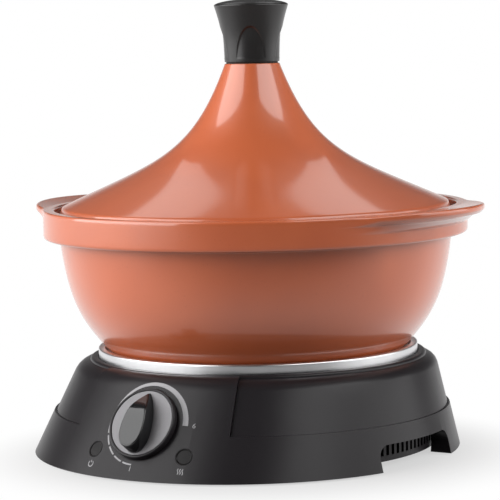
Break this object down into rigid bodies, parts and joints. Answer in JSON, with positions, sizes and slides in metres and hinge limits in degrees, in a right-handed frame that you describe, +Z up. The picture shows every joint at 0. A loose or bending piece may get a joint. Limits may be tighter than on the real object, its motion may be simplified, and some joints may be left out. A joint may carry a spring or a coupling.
{
  "type": "electric tagine",
  "caption": "Electric tagine: glazed clay bowl with tab handles and a tall conical lift-off lid, on a round heated base with a thermostat knob and indicator lamps.",
  "frame": {"origin": "point on the worktop under the hot plate's axis, level with the bottoms of the feet", "axes": "+Z up along the hot plate's axis, -Y towards the control panel at the front, X through the two tab handles"},
  "size_m": [0.317, 0.2982, 0.2942],
  "materials": {
    "terracotta_glaze": "satin glaze over red clay",
    "black_moulding": "fine-grained black moulding",
    "black_grip": "satin black moulding",
    "gloss_black": "polished black moulding",
    "silver_face": "silver paint",
    "cast_aluminium": "satin turned aluminium",
    "steel_sheet": "zinc plated sheet",
    "steel_screw": "zinc plated",
    "brass": "turned brass",
    "copper": "drawn copper",
    "black_rubber": "matte rubber",
    "gasket_silicone": "heat-proof silicone",
    "mineral_wool": "pressed fibre",
    "steatite": "unglazed steatite",
    "smoked_lens": "smoked clear plastic",
    "lamp_glass": "lamp holder",
    "wire_brown": "wire sleeve",
    "wire_blue": "wire sleeve",
    "wire_green": "wire sleeve",
    "wire_white": "wire sleeve"
  },
  "bodies": {
    "base": {"lower_housing": "black_moulding", "top_cover": "black_moulding", "bottom_pan": "black_moulding", "rubber_feet": "black_rubber", "case_screws": "steel_screw", "hot_plate": "cast_aluminium", "plate_gasket": "gasket_silicone", "plate_nuts": "steel_screw", "heating_element": "steel_sheet", "element_clamp": "steel_sheet", "clamp_nut": "steel_screw", "heat_shield": "steel_sheet", "insulation": "mineral_wool", "pin_bushes": "steatite", "thermostat_bulb": "copper", "bulb_clip": "steel_sheet", "capillary": "copper", "thermostat_bush": "brass", "bush_nut": "brass", "thermostat_case": "steel_sheet", "thermostat_base": "steatite", "contact_leaf": "copper", "power_lens": "smoked_lens", "heat_lens": "smoked_lens", "power_lamp": "lamp_glass", "heat_lamp": "lamp_glass", "cord_gland": "black_rubber", "cord_clamp": "steatite", "terminal_block": "steatite", "tie_screws": "steel_screw", "thermal_fuse": "copper", "fuse_clip": "steel_sheet", "earth_screw": "steel_screw", "live_wire": "wire_brown", "load_wire": "wire_brown", "neutral_wire": "wire_blue", "fuse_wire": "wire_blue", "earth_wire": "wire_green", "power_lead": "wire_white", "heat_lead": "wire_white"},
    "bowl": {"bowl": "terracotta_glaze"},
    "lid": {"lid": "terracotta_glaze", "lid_knob": "black_grip", "knob_gasket": "black_rubber", "knob_insert": "brass", "lid_screw": "steel_screw", "lid_washer": "steel_sheet"},
    "control_knob": {"knob_body": "gloss_black", "knob_face": "silver_face", "knob_clip": "steel_sheet", "spindle": "steel_screw"},
    "adjusting_pin": {"thermostat_pin": "steatite"}
  },
  "joints": [
    {"name": "bowl_lift", "type": "slide", "parent": "base", "child": "bowl", "axis": [0, 0, 1], "range_m": [0, 0.12]},
    {"name": "lid_lift", "type": "slide", "parent": "bowl", "child": "lid", "axis": [0, 0, 1], "range_m": [0, 0.16]},
    {"name": "knob_turn", "type": "hinge", "parent": "base", "child": "control_knob", "pos_m": [0, -0.1362, 0.0326], "axis": [0, -0.85, 0.5267], "range_deg": [-90, 180]},
    {"name": "pin_feed", "type": "slide", "parent": "base", "child": "adjusting_pin", "axis": [0, -0.85, 0.5267], "range_m": [-0.00055, 0.0003]}
  ],
  "couplings": [
    {"joint": "pin_feed", "follows": "knob_turn", "m_per_rad": -0.00015915}
  ]
}
